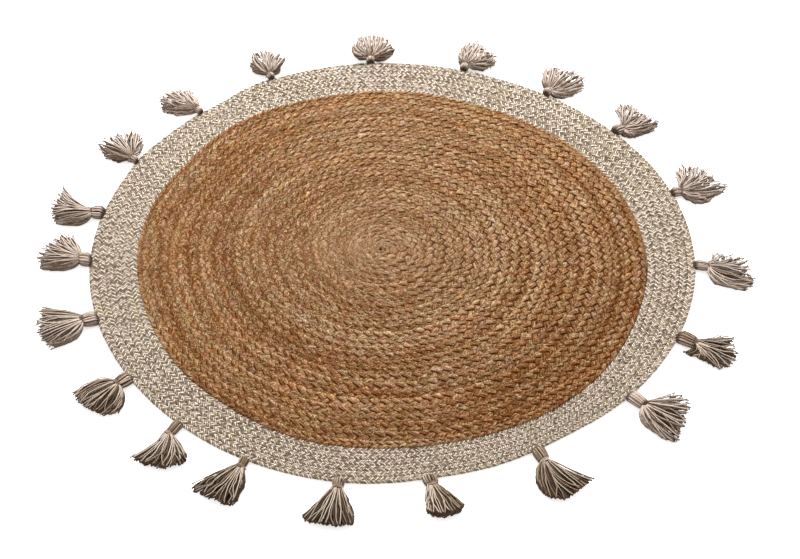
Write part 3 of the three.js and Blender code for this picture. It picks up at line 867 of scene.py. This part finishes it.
tasselMake = {
    "topYarns": 48,               # side by side over the skirt, pale thick ones between dark thin ones
    "innerYarns": 38,
    "coreYarns": 17,              # thick, painted in shade, they fill the inside
    "headYarns": 26,
    "yarnWide": 2.3,              # mm
    "coreWide": 7.5,
    "sides": 5,
    "readHeight": 10,             # mm, the height at which places were read from the photograph
    "neckHigh": 11,               # mm, middle of the neck above the floor
    "neckHalf": 7.5,
    "neckBack": 2.5,              # the yarns begin this far before the tie
    "neckSpread": (0.8, 0.35),    # there, how far in order of their places and how far by chance
    "backLift": 0.30,
    # layers of the skirt, 1 on top: top yarns, how much the thin ones are sunk, highest inner yarn, cores
    "topLayer": (0.92, 1.0),
    "sunkDepth": 0.1,
    "innerLayer": 0.9,
    "coreLayer": (0.48, 0.65),
    "darkBelow": -0.2,            # tassels less pale than this have two thin yarns for each pale one
    "crossing": 0.03,             # how far a yarn changes place with its neighbours
    "crimps": ((0.9, 4.0), (2.2, 3.0), (4.0, 1.5)),    # waves along a yarn, their size in mm
    "crimpWays": (0.5, 1.0, 0.8),                      # outwards, across, up
    "reach": 1.03,                # of the way to the ends read from the photograph
    "coreReach": 0.98,
    "ragged": (0.01, 0.07),       # how uneven the ends are, and this much more where they aren't cut
    "pulledIn": (0.04, 0.12),     # how far inner yarns stay back where the ends are cut straight
    "tipsWider": (1.12, 0.2),     # and this much more where the ends are cut straight
    "yarnWidths": (0.85, 1.1),
    "palerWider": (0.2, 0.8),     # the pale yarns are thicker than the thin ones, less so in dark tassels
    "coreAlong": (0, 0.3, 0.8, 1),
    "coreSwell": (0.3, 1, 1, 0.85),
    "toneShift": 0.1,
    "paleTone": (0.07, 0.48),     # how much paler the pale yarns are
    "toneMix": (-0.25, 0.0, 0.08, 0.16),
    "mixWeight": (0.3, 1.2),
    "floorGap": 0.15,
    "topHigh": 38.5,              # no yarn stands higher
    "paintedShadeHigh": 22,            # mm; yarns get painted shade near the floor, measured against this height
}
# Along the skirt, neck to ends: the last two rings lie close together, to hold the painted shade of the cut
# ends
skirtShares = np.array([0, 0.14, 0.28, 0.42, 0.55, 0.68, 0.80, 0.91, 0.975, 1.0])
# Along the head, border to neck: how swollen it is, and how open to the light
headMake = {
    "shares": (0, 0.12, 0.3, 0.55, 0.8, 1.0),
    "swell": (0.35, 0.78, 1.0, 1.0, 0.9, 0.62),
    "shown": (0.0, 0.35, 1, 1, 1, 0.3),
    "begins": -5,                 # mm, inside the border
    "pastNeck": 1,
    "beginsHigh": 4.5,
    "highShare": 0.42,            # half the height of a head, as a share of its width
    "highMost": 10.5,
    "uneven": (-0.06, 0.04),
    "tone": 0.9,
    "sunkTone": 0.45,
}
tieMake = {
    "turns": 4,
    "yarn": 1.9,                  # mm
    "pitch": 0.85,                # from one turn to the next, in yarns
    "out": 1.9,                   # mm outside the neck
    "tilt": 0.7,
    "corners": 18,
    "sides": 6,
    "floorGap": 0.3,
    "paintedShadeHigh": 18,
}

tasselLook = {
    **marlLook,
    "pale": ((0.0, (0.085, 0.040, 0.016)), (0.25, (0.22, 0.13, 0.075)),
             (0.5, (0.55, 0.43, 0.36)), (0.75, (0.95, 0.87, 0.78))),
    "dark": ((0.0, (0.06, 0.030, 0.014)), (0.5, (0.25, 0.16, 0.105)), (1.0, (0.66, 0.54, 0.45))),
    # painted shades: between the yarns, on their undersides and at the cut ends, and near the floor
    "gapShade": (0.046, 0.021, 0.008),
    "creviceShade": (0.05, 0.03, 0.018),
    "rosy": ((0.62, 0.46, 0.40), 0.62, 0.95, 0.4),
    "olive": ((0.52, 0.43, 0.26), 0.38, 0.05, 0.4),
    "twist": 0.0055,
    "paleShare": -0.3,
    "deepRange": (0.05, 0.25),
    "toneWeight": 1.1,
    "plyContrast": 0.25,
    "gapShadeRange": (0.35, 0.9),
    "gapShadeDepth": 0.95,
    "pairContrast": 0.0,
    "sheen": 0.06,
}
tasselFinish = makeMarl("tassel_marl", tasselLook)
# the tie gets less painted shade in its gaps and low places
tieFinish = makeMarl("tie_marl", {**tasselLook, "twist": 0.0045, "deepRange": (0.0, 0.1), "gapShadeDepth": 0.3})


# A place read on the photograph, with its height, as a place in the tassel's own frame: out, across, up
def fromPhoto(tassel, out, across, high):
    turned = math.radians(tassel["at"])
    behind = (high - tasselMake["readHeight"]) / math.tan(math.radians(cameraSet["elevation"]))
    return np.stack([out - behind * math.sin(turned), across + behind * math.cos(turned), high], axis=-1)


# Tubes along many paths at once. paths: yarns x points x 3 in millimetres, local to the tassel
def yarnRings(paths, radius, sides):
    ahead = np.gradient(paths, axis=1)
    ahead /= np.maximum(np.linalg.norm(ahead, axis=2, keepdims=True), 1e-6)
    side = np.cross(ahead, np.array([0.0, 0.0, 1.0]))
    side /= np.maximum(np.linalg.norm(side, axis=2, keepdims=True), 1e-6)
    up = np.cross(side, ahead)
    turn = math.pi / 2 + 2 * math.pi * np.arange(sides) / sides
    ring = side[:, :, None] * np.cos(turn)[:, None] + up[:, :, None] * np.sin(turn)[:, None]
    rings = paths[:, :, None] + ring * radius[..., None, None]
    rings[..., 2] = np.maximum(rings[..., 2], tasselMake["floorGap"])
    return rings, turn


def skirtPaths(tassel, stops, draw):
    stops = np.array(stops, float)
    halfway = fromPhoto(tassel, *stops[:, :3].T)
    ends = fromPhoto(tassel, *stops[:, 3:6].T)
    gaps = sum(np.linalg.norm(np.diff(points, axis=0), axis=1) for points in (ends, halfway))
    along = np.concatenate([[0], np.cumsum(gaps)]) / gaps.sum()
    top, inner, core = tasselMake["topYarns"], tasselMake["innerYarns"], tasselMake["coreYarns"]
    curl, cut, paler = tassel["curl"], tassel["cut"], tassel["paler"]
    spot = np.concatenate([
        (np.arange(top) + 0.5 + draw.uniform(-0.45, 0.45, top)) / top,
        (np.arange(inner) + 0.5 + draw.uniform(-0.5, 0.5, inner)) / inner,
        (np.arange(core) + 0.5) / core,
    ])
    yarns = len(spot)
    # the skirts at the back of the rug stand up from the floor, those in front rest their ends on it
    lowest = tasselMake["backLift"] * (1 + math.sin(math.radians(tassel["at"])))
    # every other top yarn is thin and sunk between its neighbours, or two of three in the dark tassels
    sunk = np.minimum(np.arange(top) % (3 if paler < tasselMake["darkBelow"] else 2), 1)
    coreBase, coreLift = tasselMake["coreLayer"]
    layer = np.concatenate([
        draw.uniform(*tasselMake["topLayer"], top) - tasselMake["sunkDepth"] * sunk,
        draw.permutation(np.linspace(lowest, tasselMake["innerLayer"], inner)),
        np.full(core, coreBase + coreLift * lowest),
    ])
    thick = np.concatenate([np.zeros(top + inner), np.ones(core)])[:, None]
    paleness = np.concatenate([np.where(sunk == 1, -1, 1), np.zeros(inner + core)])
    crossing = draw.normal(0, tasselMake["crossing"], yarns) * np.where(thick[:, 0] > 0, 0, 1)
    middle, end = (
        np.column_stack([np.interp(spots, along, points[:, k]) for k in range(3)])
        for points, spots in ((halfway, spot - crossing), (ends, spot + crossing)))
    tone = np.interp(spot, along, stops[:, 6])
    angle = draw.uniform(0, 2 * math.pi, yarns)
    depth = tasselMake["neckHalf"] * np.sqrt(draw.uniform(0.05, 1, yarns))
    neckOut, neckAcross = tassel["neck"]
    bundle = middle[:, 1] - middle[:, 1].mean()
    bundle = bundle / (np.abs(bundle).max() + 1e-6)
    inOrder, byChance = tasselMake["neckSpread"]
    start = np.column_stack([
        np.full(yarns, neckOut - tasselMake["neckBack"]),
        neckAcross + inOrder * tasselMake["neckHalf"] * bundle + byChance * depth * np.cos(angle),
        tasselMake["neckHigh"] + tasselMake["neckHalf"] * (1.8 * layer - 0.9) * 0.85,
    ])
    middle[:, 2] = 1.5 + (middle[:, 2] - 1.5) * layer
    end[:, 2] = 1.2 + (end[:, 2] - 1.2) * np.clip(layer + draw.uniform(-0.08, 0.08, yarns), 0, 1.05)
    ragged = tasselMake["ragged"][0] + tasselMake["ragged"][1] * (1 - cut)
    reach = tasselMake["reach"] - 0.8 * ragged + ragged * draw.uniform(-1, 1, (yarns, 1))
    reach = np.where(thick > 0, tasselMake["coreReach"] - ragged, reach)
    stayBack, lowerBack = tasselMake["pulledIn"]
    reach[top:top + inner, 0] -= (stayBack + lowerBack * (1 - layer[top:top + inner])) * cut
    end = start + (end - start) * np.hstack([reach, reach, np.ones((yarns, 1))])
    bend = 2 * middle - (start + end) / 2
    t = skirtShares[None, :, None]
    paths = start[:, None] * (1 - t) ** 2 + bend[:, None] * 2 * t * (1 - t) + end[:, None] * t ** 2
    share = skirtShares[None]
    loose = curl * (0.5 + draw.uniform(0, 1, (yarns, 1)) ** 2)
    calm = share ** 0.8 * (1 - 0.7 * cut * share ** 3)
    for waves, size in tasselMake["crimps"]:
        for axis, weight in enumerate(tasselMake["crimpWays"]):
            turn = 2 * math.pi * (waves * share + draw.uniform(0, 1, (yarns, 1)))
            swing = np.sin(turn) * calm * loose * draw.uniform(0.3, 1, (yarns, 1))
            paths[..., axis] += size * weight * swing
    half = tasselMake["yarnWide"] / 2
    paths[..., 2] = np.clip(paths[..., 2], half, tasselMake["topHigh"])
    fuller = (tasselMake["palerWider"][0] + tasselMake["palerWider"][1] * min(paler, 0)) * paleness
    radius = half * (draw.uniform(*tasselMake["yarnWidths"], yarns) + fuller)[:, None]
    radius = radius * np.minimum(0.62 + 2.5 * share, 1)
    radius[:, -2:] *= tasselMake["tipsWider"][0] + tasselMake["tipsWider"][1] * cut
    filling = tasselMake["coreWide"] / 2 * np.interp(share, tasselMake["coreAlong"], tasselMake["coreSwell"])
    radius = np.where(thick > 0, filling, radius)
    paths[..., 2] = np.maximum(paths[..., 2], radius)
    # how open to the light each yarn is: the inner and lower yarns get painted shade
    shown = np.clip(layer * 1.1 - 0.1, 0.1, 1)[:, None] * np.ones_like(share)
    # painted shade at the cut ends
    shown[:, -1] -= max(cut, 0.4)
    shown[:, -2] -= 0.3 * cut
    # more painted shade on the thin yarns of the darker tassels, and on the cores
    shadier = np.where(paleness > 0, 0, 1.2)[:, None] * min(paler, 0)
    shown = np.where(thick > 0, 0.65 + paler, shown * (1 + shadier))
    mixed = draw.choice(tasselMake["toneMix"], yarns)
    mixed = mixed * (tasselMake["mixWeight"][0] + tasselMake["mixWeight"][1] * tone)
    tone = tone + (tasselMake["paleTone"][0] + tasselMake["paleTone"][1] * tone) * paleness + mixed
    # paler lowers the tone of the tassels at the front, partly as painted shade
    tone = tone + tasselMake["toneShift"] + np.where(paleness > 0, max(paler, 0.45 * paler), 1.1 * paler)
    return paths, radius, np.clip(tone, 0, 1), shown


def headPaths(tassel, draw):
    heads = tasselMake["headYarns"]
    neckOut, neckAcross = tassel["neck"]
    share = np.array([headMake["shares"]])
    swell = np.array([headMake["swell"]])
    angle = 2 * math.pi * (np.arange(heads) + draw.uniform(-0.3, 0.3, heads))[:, None] / heads
    half = (tassel["wide"] / 2 - 1.2) * (1 + draw.uniform(*headMake["uneven"], (heads, 1)))
    high = min(tassel["wide"] * headMake["highShare"], headMake["highMost"])
    high = high * (1 + draw.uniform(*headMake["uneven"], (heads, 1)))
    wound = angle + draw.uniform(-0.25, 0.25, (heads, 1)) * share
    out = headMake["begins"] + (neckOut - headMake["begins"] + headMake["pastNeck"]) * share + 0 * angle
    across = tassel["start"] + (neckAcross - tassel["start"]) * share + half * swell * np.cos(wound)
    rise = tasselMake["neckHigh"] + 0.5 - headMake["beginsHigh"]
    lift = headMake["beginsHigh"] + rise * np.minimum(share / 0.3, 1) + high * swell * np.sin(wound)
    paths = np.stack([out, across, np.maximum(lift, 1.2)], axis=-1)
    around = math.pi * (tassel["wide"] / 2 + high.mean())
    sunk = (np.arange(heads) % 2)[:, None]
    radius = 0.62 * around / heads * (0.4 + 0.6 * swell) * (1.15 - 0.3 * sunk)
    tone = headMake["tone"] + tassel["paler"] - headMake["sunkTone"] * sunk[:, 0]
    tone = np.clip(tone + draw.uniform(-0.3, 0.15, heads), 0, 1)
    shown = np.repeat(np.array([headMake["shown"]]), heads, axis=0)
    # the folded middle of the bundle, inside, painted in full shade
    inside = paths.mean(axis=0, keepdims=True)
    inside[..., 2] = np.maximum(inside[..., 2], 8)
    fat = np.minimum(high.mean(), tassel["wide"] / 2) * 0.8 * swell
    fat = np.minimum(fat, inside[..., 2] - 0.5)
    paths, radius = np.concatenate([paths, inside]), np.concatenate([radius, fat])
    return paths, radius, np.append(tone, 0.1), np.concatenate([shown, np.zeros_like(share)])


# Millimetres in the tassel's own frame as metres on the rug
def toRug(local, tassel):
    turned = math.radians(tassel["at"])
    outward = np.array([math.cos(turned), math.sin(turned), 0])
    clockwise = np.array([math.sin(turned), -math.cos(turned), 0])
    start = outward * float(rugEdge(np.array(tassel["at"])))
    out, across, high = (mm * local[..., k:k + 1] for k in range(3))
    return start + out * outward + across * clockwise + high * np.array([0, 0, 1.0])


def yarnMarks(rings, paths, turn, radius, tone, shown):
    steps = np.linalg.norm(np.diff(paths, axis=1), axis=2)
    travelled = np.concatenate([np.zeros((len(paths), 1)), np.cumsum(steps, axis=1)], axis=1)
    travelled = travelled[..., None] + 400 * np.arange(len(paths))[:, None, None]
    shape = rings.shape[:3]
    run = np.stack([np.broadcast_to(values, shape) for values in (
        travelled, np.cos(turn) * radius[..., None], np.sin(turn) * radius[..., None])], axis=-1) * mm
    warmth = np.random.default_rng(len(paths)).permutation(tone)
    return {
        "run": run.reshape(-1, 3),
        "tone": np.broadcast_to(tone[:, None, None], shape).ravel(),
        "warmth": np.broadcast_to(warmth[:, None, None], shape).ravel(),
        # painted shade on the underside of each yarn and on the yarns less open to the light
        "crown": (shown[..., None] * (0.5 + 0.5 * np.sin(turn))).ravel(),
        "high": (rings[..., 2] / tasselMake["paintedShadeHigh"]).ravel(),
    }


def addTassel(number, tassel, stops):
    draw = np.random.default_rng(1000 + number)
    parts = []
    for paths, radius, tone, shown in (skirtPaths(tassel, stops, draw), headPaths(tassel, draw)):
        rings, turn = yarnRings(paths, radius, tasselMake["sides"])
        parts.append((toRug(rings, tassel), yarnMarks(rings, paths, turn, radius, tone, shown)))
    mesh = joinTubes("tassel_yarns_%02d" % number, parts)
    addPiece(mesh, tasselFinish, "tassel_yarn", "tassel_%02d" % number)
    addTie(number, tassel, draw)
    return len(mesh.polygons)


def addTie(number, tassel, draw):
    turns, half = tieMake["turns"], tieMake["yarn"] / 2
    around = 2 * math.pi * np.arange(tieMake["corners"]) / tieMake["corners"]
    neckOut, neckAcross = tassel["neck"]
    reach = tasselMake["neckHalf"] + tieMake["out"]
    rings = []
    marks = []
    for k in range(turns):
        spot = neckOut + (k - (turns - 1) / 2) * tieMake["yarn"] * tieMake["pitch"]
        tilt = draw.uniform(-tieMake["tilt"], tieMake["tilt"])
        path = np.stack([
            spot + tilt * np.sin(around),
            neckAcross + reach * np.cos(around),
            tasselMake["neckHigh"] + reach * np.sin(around),
        ], axis=-1)
        ahead = np.roll(path, -1, axis=0) - np.roll(path, 1, axis=0)
        ahead /= np.linalg.norm(ahead, axis=1, keepdims=True)
        side = np.array([1.0, 0, 0])
        up = np.cross(side, ahead)
        turn = 2 * math.pi * np.arange(tieMake["sides"]) / tieMake["sides"]
        ring = side * np.cos(turn)[None, :, None] + up[:, None] * np.sin(turn)[None, :, None]
        tube = path[:, None] + ring * half
        rings.append(tube)
        travelled = around[:, None] * reach + 50 * k
        run = np.stack(np.broadcast_arrays(travelled, np.cos(turn) * half, np.sin(turn) * half), axis=-1)
        corners = np.ones(tube[..., 0].size)
        tone = np.clip(tassel["tie"] + draw.uniform(-0.15, 0.15), 0, 1)
        # height, for the painted shade near the floor
        high = tube[..., 2].ravel() / tieMake["paintedShadeHigh"]
        marks.append({
            "run": run.reshape(-1, 3) * mm, "tone": tone * corners, "warmth": 0.5 * corners, "crown": corners,
            "high": high})
    rings = np.stack(rings)
    rings[..., 2] = np.maximum(rings[..., 2], tieMake["floorGap"])
    mesh = tubeMesh("tie_yarn_%02d" % number, toRug(rings, tassel), True, joinMarks(marks))
    addPiece(mesh, tieFinish, "tie_yarn", "tassel_tie_%02d" % number)


faces = 0
for number, (values, stops) in enumerate(tasselRows, 1):
    faces += addTassel(number, dict(zip(tasselNames, values)), stops)
print("tassels made,", faces, "faces")

# Floor and light
studio = {
    "floorSide": 14,
    "floorColour": (0.92, 0.92, 0.92),
    "floorGlow": 0.6,            # fades the shadows, the photograph has none
    "skyStrength": 0.88,
    "skyColour": (1.0, 0.975, 0.935),
    "keyPower": 320,
    "keyColour": (0.935, 0.965, 1.0),
    "keySize": 1.65,
    "keyFrom": (-0.3, 3.0, 2.85),
}


def addFloor():
    half = studio["floorSide"] / 2
    corners = np.array([(-half, -half, 0), (half, -half, 0), (half, half, 0), (-half, half, 0)], float)
    mesh = facedMesh("studio_floor", corners, [np.array([[0, 1, 2, 3]])], {})
    floor = bpy.data.objects.new("studio_floor", mesh)
    bpy.context.scene.collection.objects.link(floor)
    material, tree, shader = newMaterial("pale_floor")
    shader.inputs["Base Color"].default_value = (*studio["floorColour"], 1)
    shader.inputs["Emission Color"].default_value = (1, 1, 1, 1)
    shader.inputs["Emission Strength"].default_value = studio["floorGlow"]
    shader.inputs["Roughness"].default_value = 0.9
    shader.inputs["Specular IOR Level"].default_value = 0.1
    mesh.materials.append(material)


def addLights():
    world = bpy.data.worlds.new("studio")
    bpy.context.scene.world = world
    world.use_nodes = True
    background = world.node_tree.nodes["Background"]
    background.inputs["Color"].default_value = (*studio["skyColour"], 1)
    background.inputs["Strength"].default_value = studio["skyStrength"]
    keyData = bpy.data.lights.new("key", "AREA")
    keyData.energy = studio["keyPower"]
    keyData.color = studio["keyColour"]
    keyData.size = studio["keySize"]
    key = bpy.data.objects.new("key", keyData)
    bpy.context.scene.collection.objects.link(key)
    place = Vector(studio["keyFrom"])
    key.location = place
    key.rotation_euler = (-place).to_track_quat("-Z", "Y").to_euler()


addFloor()
addLights()
bpy.context.scene.view_settings.view_transform = "Standard"
print("floor and lights set")
